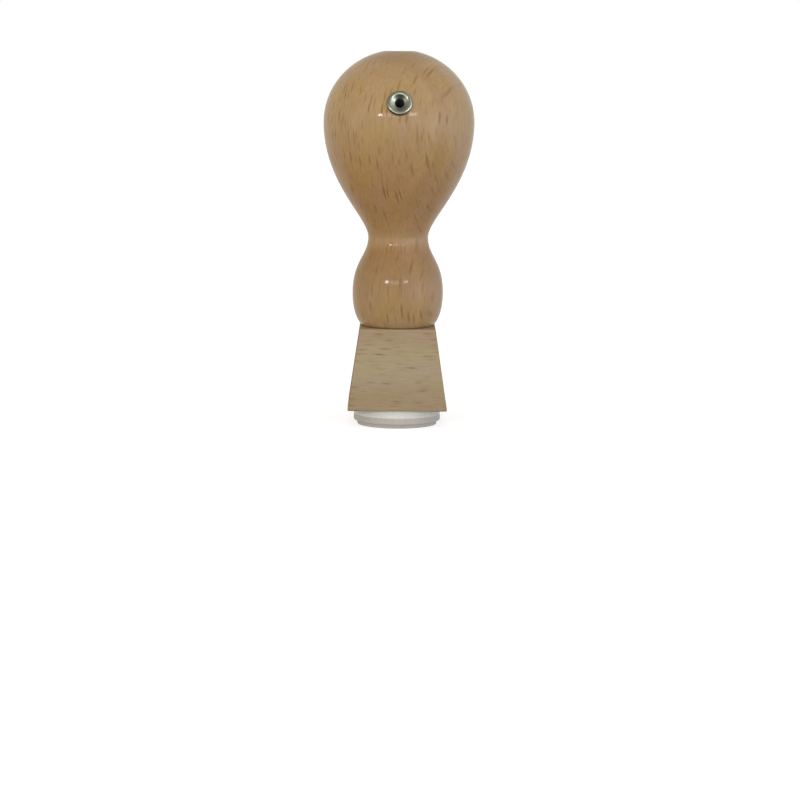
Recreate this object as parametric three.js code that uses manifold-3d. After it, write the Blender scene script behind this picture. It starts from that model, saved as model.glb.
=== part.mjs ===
// A wooden hand stamp: a turned beech handle with a metal eyelet as front mark, screwed to a tapered
// beech block that carries an engraved rubber die on a foam cushion.
// Millimetres, +Z up. The origin is the middle of the printing face, on the handle's axis, and the
// front, where the eyelet sits, looks along -Y.
import * as THREE from 'three';
import { mergeVertices } from 'three/addons/utils/BufferGeometryUtils.js';
import Module from 'manifold-3d';

// Handle: heights are measured up from its seat on the block
const handleHeight = 60;
const ballRadius = 16.5;
const crownRise = 15.4; // the crown above the widest turn of the ball
const crownFacing = 0.32; // what the flat crown takes off the ball's full ellipse
const waistRadius = 6.6;
const waistLevel = 19.5;
const footRadius = 10;
const footLevel = 7.2; // the widest turn of the foot
const seatRadius = 7.4; // flat face that stands on the block
const seatRounding = 1.1;

// Handle: how long each curve keeps its direction, as a share of the height between two turns
const ballToWaist = [0.53, 0.17];
const waistToFoot = [0.33, 0.58];
const footToSeat = 0.62;

// Front eyelet: a hollow rivet pressed into the ball, square to its surface
const eyeletRise = 4.5; // above the ball's widest turn
const eyeletFlangeRadius = 2.75;
const eyeletBarrelRadius = 1.7;
const eyeletHoleRadius = 1.18;
const eyeletCrown = 0.75; // height of the rolled flange
const eyeletBarrelLength = 6;
const eyeletClearance = 0.25; // all round the barrel and the flange, and under both
const eyeletSpotDepth = 0.3; // flat seat cut into the ball for the flange

// Dowel screw: a wood screw with two points
const screwRadius = 2;
const screwTipRadius = 0.5;
const screwPoint = 3.2; // length of each tapered point
const screwInHandle = 16.5;
const screwInBlock = 13.2;
const screwClearance = 0.2; // radial, between the pilot holes and the screw
const pilotSpare = 0.5; // depth of each pilot hole past the screw's point

// Mounting block
const blockTop = 16.6;
const blockBase = 21.8;
const blockHeight = 17.7;
const blockCorner = 0.5; // rounding of the four sloping edges
const blockArris = 0.35; // sanded edge round the top and the base
const arrisMiddle = 0.3; // the arris's middle ring, as a share of the arris

// Cushion and adhesive films
const filmThickness = 0.1;
const cushionThickness = 1.5;

// Rubber die: a plate with the raised figure under it
const plateThickness = 1.3;
const reliefHeight = 1;
const reliefShoulder = 0.22; // how much wider the relief is at the plate than at its face
const plateMargin = 0.8; // plate, films and cushion past the figure's outline
const plateCorner = 1.2;

// Figure, a laughing theatre mask: y runs down from the tips of its two horns
const figureWidth = 17.5;
const sideLength = 11.1; // straight side, from a horn's tip to the chin's half ellipse
const chinDepth = 7.98;
const browSag = 1.96; // dip of the top edge between the horns
const bandWidth = 1.56;
const hornRounding = 0.12;

const eyeOffset = 3.36; // middle of an eye from the centre line
const eyeTop = 5.63;
const eyeThickness = 1.58;
const eyeOuterReach = 2.18;
const eyeInnerReach = 2.62;
const eyeOuterDrop = 2.33; // from the eye's top down to its outer tip
const eyeInnerDrop = 3.05; // from the eye's top down to its inner foot
const eyeFootWidth = 0.52;

// Figure: where each curve of an eye turns, as a share of the reach or the drop that it crosses
const eyeTipReach = 0.8;
const eyeBulgeDrop = 0.7; // level of the outer end's fullest point
const eyeTipCurl = 0.55;
const eyeOuterPull = [0.5, 0.52];
const eyeInnerPull = [0.4, 0.82];
const eyeInnerFall = 0.45;
const eyeUnderPull = [0.75, 0.42];
const eyeUnderFall = 0.65;
const eyeTuck = 0.48;

const mouthWidth = 9.48;
const mouthTop = 10.6; // level of its two tips
const mouthTipInset = 0.14;
const mouthUpperSag = 2.7;
const mouthLowerDepth = 4.54;
const mouthTipHeight = 0.77; // from the lower lip's widest level up to a tip

// Fineness of the round forms
const handleSides = 48;
const eyeletSides = 32;
const screwSides = 24;
const profileSteps = 9;
const outlineSteps = 10;
const cornerSteps = 2;
const mergeDistance = 1e-4; // points closer than this are one point

// What follows from the sizes above
const ballLevel = handleHeight - crownRise; // the widest turn of the ball
const domeRise = crownRise + crownFacing; // the ball's full ellipse above its widest turn
const figureHeight = sideLength + chinDepth;

// Levels of the stack, from the printing face up
const plateLevel = reliefHeight;
const lowerFilmLevel = plateLevel + plateThickness;
const cushionLevel = lowerFilmLevel + filmThickness;
const upperFilmLevel = cushionLevel + cushionThickness;
const blockLevel = upperFilmLevel + filmThickness;
const seatLevel = blockLevel + blockHeight;

const wasm = await Module();
wasm.setup();

// A closed geometry as a solid that can be joined and cut
function toSolid(geometry) {
  const bare = geometry.clone();
  bare.deleteAttribute('normal');
  bare.deleteAttribute('uv');
  const merged = mergeVertices(bare, mergeDistance);
  return new wasm.Manifold(new wasm.Mesh({
    numProp: 3,
    vertProperties: new Float32Array(merged.attributes.position.array),
    triVerts: new Uint32Array(merged.index.array),
  }));
}

function toGeometry(solid) {
  const mesh = solid.getMesh();
  const geometry = new THREE.BufferGeometry();
  geometry.setAttribute('position', new THREE.BufferAttribute(mesh.vertProperties, 3));
  geometry.setIndex(new THREE.BufferAttribute(mesh.triVerts, 1));
  geometry.computeVertexNormals();
  return geometry;
}

// A profile of radius and height, given from the bottom up on its outer side, turned about +Z
function turn(path, sides) {
  return new THREE.LatheGeometry(path.getPoints(profileSteps), sides).rotateX(Math.PI / 2);
}

// The ball above its widest turn is an ellipse, cut off flat at the crown
function handleProfile() {
  const pilotRadius = screwRadius + screwClearance;
  const pilotDepth = screwInHandle + pilotSpare;
  const neck = ballLevel - waistLevel;
  const skirt = waistLevel - footLevel;
  const crownAngle = Math.asin(crownRise / domeRise);
  const path = new THREE.Path();
  path.moveTo(0, pilotDepth);
  path.lineTo(pilotRadius, pilotDepth);
  path.lineTo(pilotRadius, 0);
  path.lineTo(seatRadius, 0);
  path.bezierCurveTo(
    seatRadius + seatRounding, 0,
    footRadius, footLevel * (1 - footToSeat),
    footRadius, footLevel,
  );
  path.bezierCurveTo(
    footRadius, footLevel + skirt * waistToFoot[1],
    waistRadius, waistLevel - skirt * waistToFoot[0],
    waistRadius, waistLevel,
  );
  path.bezierCurveTo(
    waistRadius, waistLevel + neck * ballToWaist[1],
    ballRadius, ballLevel - neck * ballToWaist[0],
    ballRadius, ballLevel,
  );
  path.absellipse(0, ballLevel, ballRadius, domeRise, 0, crownAngle, false);
  path.lineTo(0, handleHeight);
  return path;
}

// Where the eyelet sits on the front of the ball, and how far its axis tips up from level
const eyeletAngle = Math.asin(eyeletRise / domeRise);
const eyeletTilt = Math.atan2(Math.sin(eyeletAngle) / domeRise, Math.cos(eyeletAngle) / ballRadius);

function placeOnBall(object) {
  object.position.set(0, -ballRadius * Math.cos(eyeletAngle), ballLevel + eyeletRise);
  object.rotation.x = Math.PI / 2 - eyeletTilt;
  object.updateMatrix();
  return object;
}

// Flange underside, barrel end and the pocket's floor all follow the same clearance
const flangeLevel = eyeletClearance - eyeletSpotDepth;

function eyeletPocket() {
  const past = eyeletCrown + eyeletSpotDepth + eyeletClearance;
  const path = new THREE.Path();
  const boreRadius = eyeletBarrelRadius + eyeletClearance;
  const boreFloor = flangeLevel - eyeletBarrelLength - eyeletClearance;
  const spotRadius = eyeletFlangeRadius + eyeletClearance;
  path.moveTo(0, boreFloor);
  path.lineTo(boreRadius, boreFloor);
  path.lineTo(boreRadius, -eyeletSpotDepth);
  path.lineTo(spotRadius, -eyeletSpotDepth);
  path.lineTo(spotRadius, past);
  path.lineTo(0, past);
  return turn(path, eyeletSides);
}

function eyeletProfile() {
  const rollRadius = (eyeletFlangeRadius - eyeletHoleRadius) / 2;
  const rollCentre = (eyeletFlangeRadius + eyeletHoleRadius) / 2;
  const barrelEnd = flangeLevel - eyeletBarrelLength;
  const path = new THREE.Path();
  path.moveTo(eyeletHoleRadius, barrelEnd);
  path.lineTo(eyeletBarrelRadius, barrelEnd);
  path.lineTo(eyeletBarrelRadius, flangeLevel);
  path.lineTo(eyeletFlangeRadius, flangeLevel);
  path.absellipse(rollCentre, flangeLevel, rollRadius, eyeletCrown, 0, Math.PI, false);
  path.lineTo(eyeletHoleRadius, barrelEnd);
  return path;
}

function screwProfile() {
  const path = new THREE.Path();
  path.moveTo(0, -screwInBlock);
  path.lineTo(screwTipRadius, -screwInBlock);
  path.lineTo(screwRadius, -screwInBlock + screwPoint);
  path.lineTo(screwRadius, screwInHandle - screwPoint);
  path.lineTo(screwTipRadius, screwInHandle);
  path.lineTo(0, screwInHandle);
  return path;
}

// A square with rounded corners, as a ring of points at one height
function squareRing(side, corner, height) {
  const half = side / 2 - corner;
  const shape = new THREE.Shape();
  shape.absarc(half, half, corner, 0, Math.PI / 2, false);
  shape.absarc(-half, half, corner, Math.PI / 2, Math.PI, false);
  shape.absarc(-half, -half, corner, Math.PI, 1.5 * Math.PI, false);
  shape.absarc(half, -half, corner, 1.5 * Math.PI, 2 * Math.PI, false);
  return shape.getPoints(cornerSteps).map((point) => new THREE.Vector3(point.x, point.y, height));
}

// Rings of equal count, from the bottom up, skinned into one closed body with flat ends
function loft(rings) {
  const count = rings[0].length;
  const points = rings.flat();
  const index = [];
  for (let level = 0; level < rings.length - 1; level += 1) {
    for (let side = 0; side < count; side += 1) {
      const next = (side + 1) % count;
      const low = level * count;
      const high = low + count;
      index.push(low + side, low + next, high + next);
      index.push(low + side, high + next, high + side);
    }
  }
  const last = (rings.length - 1) * count;
  for (let side = 1; side < count - 1; side += 1) {
    index.push(0, side + 1, side);
    index.push(last, last + side, last + side + 1);
  }
  return new THREE.BufferGeometry().setFromPoints(points).setIndex(index);
}

function blockGeometry() {
  const slope = (blockBase - blockTop) / blockHeight;
  const sideAt = (height) => blockBase - slope * height;
  const softened = blockArris * arrisMiddle;
  const rings = [
    squareRing(blockBase - 2 * blockArris, blockCorner, 0),
    squareRing(sideAt(softened) - 2 * softened, blockCorner, softened),
    squareRing(sideAt(blockArris), blockCorner, blockArris),
    squareRing(sideAt(blockHeight - blockArris), blockCorner, blockHeight - blockArris),
    squareRing(sideAt(blockHeight - softened) - 2 * softened, blockCorner, blockHeight - softened),
    squareRing(blockTop - 2 * blockArris, blockCorner, blockHeight),
  ];
  const pilotRadius = screwRadius + screwClearance;
  const pilotFloor = blockHeight - screwInBlock - pilotSpare;
  const pilot = new THREE.Path();
  pilot.moveTo(0, pilotFloor);
  pilot.lineTo(pilotRadius, pilotFloor);
  pilot.lineTo(pilotRadius, blockHeight + pilotSpare);
  pilot.lineTo(0, blockHeight + pilotSpare);
  return toGeometry(toSolid(loft(rings)).subtract(toSolid(turn(pilot, screwSides))));
}

// The mask's outline, grown outwards by a margin, or drawn in where the margin is negative.
// Straight sides, a hollow top edge on one arc, a half ellipse for the chin.
function maskOutline(margin, corner) {
  const half = figureWidth / 2 + margin;
  const browRadius = ((figureWidth / 2) ** 2 + browSag ** 2) / (2 * browSag);
  const browCentre = browRadius - browSag;
  const browArc = browRadius - margin;
  const cornerX = half - corner;
  const cornerY = browCentre - Math.sqrt((browArc + corner) ** 2 - cornerX ** 2);
  const lean = Math.atan2(browCentre - cornerY, -cornerX);
  const browAngle = Math.atan2(cornerY - browCentre, cornerX);
  const chin = -sideLength;
  const shape = new THREE.Shape();
  shape.moveTo(half, chin);
  shape.lineTo(half, cornerY);
  shape.absarc(cornerX, cornerY, corner, 0, lean, false);
  shape.absarc(0, browCentre, browArc, browAngle, -Math.PI - browAngle, true);
  shape.absarc(-cornerX, cornerY, corner, Math.PI - lean, Math.PI, false);
  shape.lineTo(-half, chin);
  shape.absellipse(0, chin, half, chinDepth + margin, Math.PI, 2 * Math.PI, false);
  return shape;
}

function bandShape() {
  const shape = maskOutline(0, hornRounding);
  shape.holes.push(maskOutline(-bandWidth, hornRounding));
  return shape;
}

// A value part of the way from one to another
function between(from, to, share) {
  return from + (to - from) * share;
}

// An eye closed in laughter: an arch that is thick outside and thins to a foot beside the nose.
// side is 1 for the right eye and -1 for the left one.
function eyeShape(side) {
  const at = (reach) => side * (eyeOffset + reach);
  const top = -eyeTop;
  const under = top - eyeThickness;
  const outerTip = top - eyeOuterDrop;
  const foot = top - eyeInnerDrop;
  const bulge = between(top, outerTip, eyeBulgeDrop);
  const footOuter = eyeFootWidth - eyeInnerReach;
  const shape = new THREE.Shape();
  shape.moveTo(at(eyeTipReach * eyeOuterReach), outerTip);
  shape.quadraticCurveTo(
    at(eyeOuterReach), between(outerTip, bulge, eyeTipCurl),
    at(eyeOuterReach), bulge,
  );
  shape.bezierCurveTo(
    at(eyeOuterReach), between(top, bulge, eyeOuterPull[0]),
    at(eyeOuterPull[1] * eyeOuterReach), top,
    at(0), top,
  );
  shape.bezierCurveTo(
    at(-eyeInnerPull[0] * eyeInnerReach), top,
    at(-eyeInnerPull[1] * eyeInnerReach), between(top, foot, eyeInnerFall),
    at(-eyeInnerReach), foot,
  );
  shape.lineTo(at(footOuter), foot);
  shape.bezierCurveTo(
    at(eyeUnderPull[0] * footOuter), between(under, foot, eyeUnderFall),
    at(eyeUnderPull[1] * footOuter), under,
    at(0), under,
  );
  shape.quadraticCurveTo(at(eyeTuck * eyeOuterReach), under, at(eyeTipReach * eyeOuterReach), outerTip);
  return shape;
}

function mouthShape() {
  const tipX = mouthWidth / 2 - mouthTipInset;
  const tipY = -mouthTop;
  const lipY = tipY - mouthTipHeight;
  const upperRadius = (tipX ** 2 + mouthUpperSag ** 2) / (2 * mouthUpperSag);
  const upperCentre = tipY + upperRadius - mouthUpperSag;
  const upperAngle = Math.atan2(tipY - upperCentre, tipX);
  const lipDepth = mouthLowerDepth - mouthTipHeight;
  const cheek = mouthWidth / 2;
  const curl = (tipY + lipY) / 2;
  const shape = new THREE.Shape();
  shape.moveTo(-tipX, tipY);
  shape.quadraticCurveTo(-cheek, curl, -cheek, lipY);
  shape.absellipse(0, lipY, cheek, lipDepth, Math.PI, 2 * Math.PI, false);
  shape.quadraticCurveTo(cheek, curl, tipX, tipY);
  shape.absarc(0, upperCentre, upperRadius, upperAngle, -Math.PI - upperAngle, true);
  return shape;
}

// A flat layer of the die's outline
function layer(shape, thickness) {
  const settings = { depth: thickness, bevelEnabled: false, curveSegments: outlineSteps };
  return new THREE.ExtrudeGeometry(shape, settings).translate(0, figureHeight / 2, 0);
}

// Relief with sloping shoulders: the outline at the printing face, wider where it joins the plate.
// The far bevel of the extrusion is pressed flat inside the plate.
function relief(shape) {
  const root = plateThickness / 2;
  const geometry = new THREE.ExtrudeGeometry(shape, {
    depth: root,
    bevelThickness: reliefHeight,
    bevelSize: reliefShoulder,
    bevelSegments: 1,
    curveSegments: outlineSteps,
  });
  geometry.translate(0, figureHeight / 2, reliefHeight);
  const position = geometry.attributes.position;
  for (let i = 0; i < position.count; i += 1) {
    position.setZ(i, Math.min(position.getZ(i), reliefHeight + root));
  }
  return geometry;
}

function dieGeometry() {
  const plate = layer(maskOutline(plateMargin, plateCorner), plateThickness);
  const raised = [bandShape(), eyeShape(-1), eyeShape(1), mouthShape()];
  let solid = toSolid(plate.translate(0, 0, plateLevel));
  for (const shape of raised) {
    solid = solid.add(toSolid(relief(shape)));
  }
  return toGeometry(solid);
}

function finish(colour, roughness, metalness = 0) {
  return new THREE.MeshStandardMaterial({ color: colour, roughness, metalness });
}

const lacqueredBeech = finish('#b08f68', 0.3);
const rawBeech = finish('#b7a37f', 0.85);
const nickel = finish('#c6c8bd', 0.25, 1);
const zincSteel = finish('#b9b8b2', 0.4, 1);
const adhesive = finish('#e8e3d2', 0.4);
const foam = finish('#dddcd7', 0.9);
const rubber = finish('#b5b0a9', 0.7);

const stamp = new THREE.Group();

function addPiece(name, geometry, material, level = 0) {
  const piece = new THREE.Mesh(geometry, material);
  piece.name = name;
  piece.position.z = level;
  stamp.add(piece);
  return piece;
}

const pocket = placeOnBall(new THREE.Object3D());
const pocketSolid = toSolid(eyeletPocket().applyMatrix4(pocket.matrix));
const handleSolid = toSolid(turn(handleProfile(), handleSides)).subtract(pocketSolid);
addPiece('handle', toGeometry(handleSolid), lacqueredBeech, seatLevel);

const eyelet = placeOnBall(new THREE.Mesh(turn(eyeletProfile(), eyeletSides), nickel));
eyelet.name = 'front_eyelet';
const ball = new THREE.Group();
ball.position.z = seatLevel;
ball.add(eyelet);
stamp.add(ball);

addPiece('dowel_screw', turn(screwProfile(), screwSides), zincSteel, seatLevel);
addPiece('mount_block', blockGeometry(), rawBeech, blockLevel);

const plateOutline = maskOutline(plateMargin, plateCorner);
addPiece('upper_adhesive', layer(plateOutline, filmThickness), adhesive, upperFilmLevel);
addPiece('cushion', layer(plateOutline, cushionThickness), foam, cushionLevel);
addPiece('lower_adhesive', layer(plateOutline, filmThickness), adhesive, lowerFilmLevel);
addPiece('rubber_die', dieGeometry(), rubber);

export default stamp;
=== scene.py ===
import math

import bmesh
import bpy
from mathutils import Matrix, Vector
from mathutils.geometry import interpolate_bezier


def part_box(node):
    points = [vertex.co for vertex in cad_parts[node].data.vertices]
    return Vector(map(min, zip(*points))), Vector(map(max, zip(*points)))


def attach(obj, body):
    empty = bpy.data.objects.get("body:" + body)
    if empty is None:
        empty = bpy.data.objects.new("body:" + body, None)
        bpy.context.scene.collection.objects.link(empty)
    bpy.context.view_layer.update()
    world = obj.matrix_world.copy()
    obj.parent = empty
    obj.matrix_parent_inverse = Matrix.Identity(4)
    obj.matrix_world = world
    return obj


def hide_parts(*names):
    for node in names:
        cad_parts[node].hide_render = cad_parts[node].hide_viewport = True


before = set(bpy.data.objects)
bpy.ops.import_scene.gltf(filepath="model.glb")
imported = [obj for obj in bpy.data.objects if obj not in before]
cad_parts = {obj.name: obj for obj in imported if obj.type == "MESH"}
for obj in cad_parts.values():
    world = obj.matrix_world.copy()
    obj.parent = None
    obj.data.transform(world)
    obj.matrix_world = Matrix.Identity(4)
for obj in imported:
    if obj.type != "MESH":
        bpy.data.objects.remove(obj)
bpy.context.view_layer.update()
mm = 0.001
weld = 0.001 * mm        # corners closer than this become one
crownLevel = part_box("handle")[1].z
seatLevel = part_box("handle")[0].z
print("frame loaded:", ", ".join(sorted(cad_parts)))


# Mesh helpers. Profiles and outlines are drawn in mm: a profile as radius and height, an outline as
# x and y.

shortestStep = 1e-4      # mm; a point nearer than this to the one before is left out


def trace(start, *strokes):
    points = [Vector((*start, 0))]
    for kind, *shape in strokes:
        begin = points[-1]
        if kind == "line":
            points.append(Vector((*shape[0], 0)))
        if kind == "bend":             # a curve with one pull
            pull, end, steps = Vector((*shape[0], 0)), Vector((*shape[1], 0)), shape[2]
            points += interpolate_bezier(begin, begin.lerp(pull, 2 / 3), end.lerp(pull, 2 / 3), end,
                                         steps + 1)[1:]
        if kind == "curve":            # a curve with two pulls
            pullOut, pullIn, end = [Vector((*corner, 0)) for corner in shape[:3]]
            points += interpolate_bezier(begin, pullOut, pullIn, end, shape[3] + 1)[1:]
        if kind == "arc":              # part of an ellipse, angles in radians
            centre, across, up, first, last, steps = shape
            for step in range(steps + 1):
                angle = first + (last - first) * step / steps
                points.append(Vector((centre[0] + across * math.cos(angle),
                                      centre[1] + up * math.sin(angle), 0)))
    kept = points[:1] + [point for before, point in zip(points, points[1:])
                         if (point - before).length > shortestStep]
    if (kept[-1] - kept[0]).length < shortestStep:
        kept.pop()
    return kept


def drawChain(bm, points, closed=False):
    verts = [bm.verts.new(point) for point in points]
    ends = verts[1:] + verts[:1] if closed else verts[1:]
    return verts, [bm.edges.new(pair) for pair in zip(verts, ends)]


def turned(points, steps, closed=False):
    # a profile turned all the way round Z
    bm = bmesh.new()
    verts, edges = drawChain(bm, [Vector((point.x, 0, point.y)) * mm for point in points], closed)
    bmesh.ops.spin(bm, geom=verts + edges, cent=(0, 0, 0), axis=(0, 0, 1), dvec=(0, 0, 0),
                   angle=2 * math.pi, steps=steps, use_merge=True, use_duplicate=False)
    bmesh.ops.remove_doubles(bm, verts=bm.verts, dist=2 * weld)
    bmesh.ops.recalc_face_normals(bm, faces=bm.faces)
    return bm


def combined(bm, tool, operation):
    # two closed shapes made one by a boolean
    objects = []
    for shape, name in ((bm, "blank"), (tool, "tool")):
        mesh = bpy.data.meshes.new(name)
        shape.to_mesh(mesh)
        shape.free()
        objects.append(bpy.data.objects.new(name, mesh))
        bpy.context.scene.collection.objects.link(objects[-1])
    modifier = objects[0].modifiers.new(operation.lower(), "BOOLEAN")
    modifier.object = objects[1]
    modifier.operation = operation
    modifier.solver = "EXACT"
    bpy.context.view_layer.update()
    shaped = bmesh.new()
    shaped.from_object(objects[0], bpy.context.evaluated_depsgraph_get())
    for done in objects:
        mesh = done.data
        bpy.data.objects.remove(done)
        bpy.data.meshes.remove(mesh)
    bmesh.ops.remove_doubles(shaped, verts=shaped.verts, dist=weld)
    return shaped


def finishPiece(bm, name, node, material, sharp=35):
    # smooth shading except across edges sharper than this many degrees, then into the scene
    for face in bm.faces:
        face.smooth = True
    for edge in bm.edges:
        edge.smooth = edge.calc_face_angle(0) < math.radians(sharp)
    openEdges = sum(not edge.is_manifold for edge in bm.edges)
    mesh = bpy.data.meshes.new(name)
    bm.to_mesh(mesh)
    bm.free()
    piece = bpy.data.objects.new(name, mesh)
    bpy.context.scene.collection.objects.link(piece)
    mesh.materials.append(material)
    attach(piece, "root")
    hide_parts(node)
    print(f"{name}: {len(mesh.polygons)} faces, {openEdges} open edges")
    return piece


# Material helpers. Patterns are placed and sized in mm.

def fromHex(code):
    # an sRGB hex colour as linear RGBA, by the sRGB curve
    channels = [int(code[i:i + 2], 16) / 255 for i in (1, 3, 5)]
    return [c / 12.92 if c <= 0.04045 else ((c + 0.055) / 1.055) ** 2.4 for c in channels] + [1.0]


def addNode(tree, kind, inputs=None, **settings):
    # one node with its settings, its fixed values and its links
    node = tree.nodes.new("ShaderNode" + kind)
    for setting, value in settings.items():
        setattr(node, setting, value)
    for socket, value in (inputs or {}).items():
        if isinstance(value, bpy.types.NodeSocket):
            tree.links.new(value, node.inputs[socket])
        else:
            node.inputs[socket].default_value = value
    return node


def startMaterial(name):
    material = bpy.data.materials.new(name)
    material.use_nodes = True
    material.node_tree.nodes.clear()
    tree = material.node_tree
    place = addNode(tree, "TexCoord")
    inMm = addNode(tree, "VectorMath", {0: place.outputs["Object"], 1: (1 / mm, 1 / mm, 1 / mm)},
                   operation="MULTIPLY")
    return material, tree, inMm.outputs[0]


def finishMaterial(tree, shader):
    addNode(tree, "OutputMaterial", {0: shader.outputs[0]})


# Beech, steamed, for the lacquered handle and the raw block. Its rays are thin blades that run out
# from the pith. Cut square across they show as short dark dashes along the grain, cut lengthwise
# they fade.

def makeBeech(name, look):
    material, tree, inMm = startMaterial(name)
    # X across the rays, Y along them and out from the pith, Z along the grain
    turn = [math.radians(angle) for angle in look["grainTurn"]]
    grain = addNode(tree, "Mapping", {"Vector": inMm, "Location": look["shift"], "Rotation": turn})
    # the grain wanders a little to both sides of its line
    wander = addNode(tree, "TexNoise", {"Vector": grain.outputs[0], "Scale": 1 / look["wanderSize"],
                                        "Detail": 1.0})
    centred = addNode(tree, "VectorMath", {0: wander.outputs["Color"], 1: (0.5, 0.5, 0.5)},
                      operation="SUBTRACT")
    wood = addNode(tree, "VectorMath", {0: centred.outputs[0], 1: (look["wander"], look["wander"], 0),
                                        2: grain.outputs[0]}, operation="MULTIPLY_ADD").outputs[0]

    colour = fromHex(look["rosy"])
    for layer in look["layers"]:
        drawn = addNode(tree, "VectorMath", {0: wood, 1: layer["pace"]}, operation="MULTIPLY")
        noise = addNode(tree, "TexNoise", {"Vector": drawn.outputs[0], "Scale": 1 / layer["width"],
                                           "Detail": layer["detail"]})
        share = addNode(tree, "MapRange", {0: noise.outputs[0], 1: layer["starts"], 2: layer["full"],
                                           3: 0.0, 4: layer["depth"]})
        colour = addNode(tree, "Mix", {0: share.outputs[0], 6: colour, 7: fromHex(layer["tone"])},
                         data_type="RGBA").outputs[2]
    relief = noise.outputs[0]          # of the fibres, the last layer

    # other tones over parts of the height, each faded in and out: painted shade and sheen where light
    # falls less or more
    height = addNode(tree, "SeparateXYZ", {0: inMm}).outputs[2]
    for tone, above, full, still, gone in look["paintedShading"]:
        fadeIn = addNode(tree, "MapRange", {0: height, 1: above, 2: full},
                         interpolation_type="SMOOTHSTEP")
        fadeOut = addNode(tree, "MapRange", {0: height, 1: gone, 2: still},
                          interpolation_type="SMOOTHSTEP")
        shadeShare = addNode(tree, "Math", {0: fadeIn.outputs[0], 1: fadeOut.outputs[0]},
                       operation="MULTIPLY")
        colour = addNode(tree, "Mix", {0: shadeShare.outputs[0], 6: colour, 7: fromHex(tone)},
                         data_type="RGBA", blend_type="MULTIPLY").outputs[2]

    # how squarely the surface cuts the rays and the fibres, 0 where it follows them
    lie = addNode(tree, "Mapping", {"Vector": addNode(tree, "NewGeometry").outputs["Normal"],
                                    "Rotation": turn}, vector_type="NORMAL")
    facing = addNode(tree, "SeparateXYZ", {0: lie.outputs[0]})
    acrossRays = addNode(tree, "Math", {0: facing.outputs[1]}, operation="ABSOLUTE")
    acrossFibres = addNode(tree, "Math", {0: facing.outputs[2]}, operation="ABSOLUTE")
    endStarts, endFull = look["endGrainCut"]
    endGrain = addNode(tree, "MapRange", {0: acrossFibres.outputs[0], 1: endStarts, 2: endFull},
                       interpolation_type="SMOOTHSTEP").outputs[0]
    rayStarts, rayFull = look["rayCut"]
    dashed = addNode(tree, "MapRange", {0: acrossRays.outputs[0], 1: rayStarts, 2: rayFull,
                                        3: look["rayAlong"], 4: 1.0}, interpolation_type="SMOOTHSTEP")
    # end grain is darker, and its rays show more, as fine lines
    square = addNode(tree, "Math", {0: endGrain, 1: look["rayOnEnd"], 2: dashed.outputs[0]},
                     operation="MULTIPLY_ADD").outputs[0]
    colour = addNode(tree, "Mix", {0: endGrain, 6: colour, 7: fromHex(look["endGrain"])},
                     data_type="RGBA", blend_type="MULTIPLY").outputs[2]

    position = addNode(tree, "SeparateXYZ", {0: wood})
    for ray in look["rays"]:
        across = addNode(tree, "Math", {0: position.outputs[0], 1: ray["apart"]}, operation="DIVIDE")
        upward = addNode(tree, "Math", {0: position.outputs[2], 1: ray["cell"]}, operation="DIVIDE")
        spot = addNode(tree, "CombineXYZ", {0: across.outputs[0], 1: upward.outputs[0], 2: 0.0})
        cells = addNode(tree, "TexVoronoi", {"Vector": spot.outputs[0], "Scale": 1.0,
                                             "Randomness": look["rayScatter"]},
                        voronoi_dimensions="2D")
        chance = addNode(tree, "SeparateColor", {0: cells.outputs["Color"]})
        # some cells have no ray, the rest one of random size and depth
        size = addNode(tree, "MapRange", {0: chance.outputs[0], 1: 1 - ray["share"], 2: 1.0})
        reach = addNode(tree, "MapRange", {0: size.outputs[0], 1: 0.0, 2: look["raySmall"]})
        extent = addNode(tree, "Math", {0: size.outputs[0], 1: ray["spread"], 2: ray["size"]},
                         operation="MULTIPLY_ADD")
        near = addNode(tree, "Math", {0: cells.outputs["Distance"], 1: extent.outputs[0]},
                       operation="DIVIDE")
        dash = addNode(tree, "MapRange", {0: near.outputs[0], 1: 1.0, 2: ray["core"]},
                       interpolation_type="SMOOTHSTEP")
        depth = addNode(tree, "MapRange", {0: chance.outputs[1], 3: look["rayFaintest"] * ray["depth"],
                                           4: ray["depth"]})
        shown = addNode(tree, "Math", {0: dash.outputs[0], 1: depth.outputs[0]}, operation="MULTIPLY")
        held = addNode(tree, "Math", {0: shown.outputs[0], 1: reach.outputs[0]}, operation="MULTIPLY")
        faced = addNode(tree, "Math", {0: held.outputs[0], 1: square}, operation="MULTIPLY").outputs[0]
        dark = addNode(tree, "Mix", {0: chance.outputs[2], 6: fromHex(look["rayBrown"]),
                                     7: fromHex(look["rayRed"])}, data_type="RGBA")
        tone = addNode(tree, "Mix", {0: endGrain, 6: dark.outputs[2], 7: fromHex(look["endRay"])},
                       data_type="RGBA")
        colour = addNode(tree, "Mix", {0: faced, 6: colour, 7: tone.outputs[2]},
                         data_type="RGBA").outputs[2]
        relief = addNode(tree, "Math", {0: faced, 1: -look["rayGroove"], 2: relief},
                         operation="MULTIPLY_ADD").outputs[0]

    grainBump = addNode(tree, "Bump", {"Height": relief, "Strength": look["bump"],
                                       "Distance": look["grainDepth"] * mm})
    shader = addNode(tree, "BsdfPrincipled", {
        "Base Color": colour, "Normal": grainBump.outputs[0], "Roughness": look["roughness"],
        "Specular IOR Level": look["specular"], "IOR": look["ior"], "Coat Weight": look["coat"],
        "Coat Roughness": look["coatRoughness"], "Coat IOR": look["ior"]})
    if look["coat"]:
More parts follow.
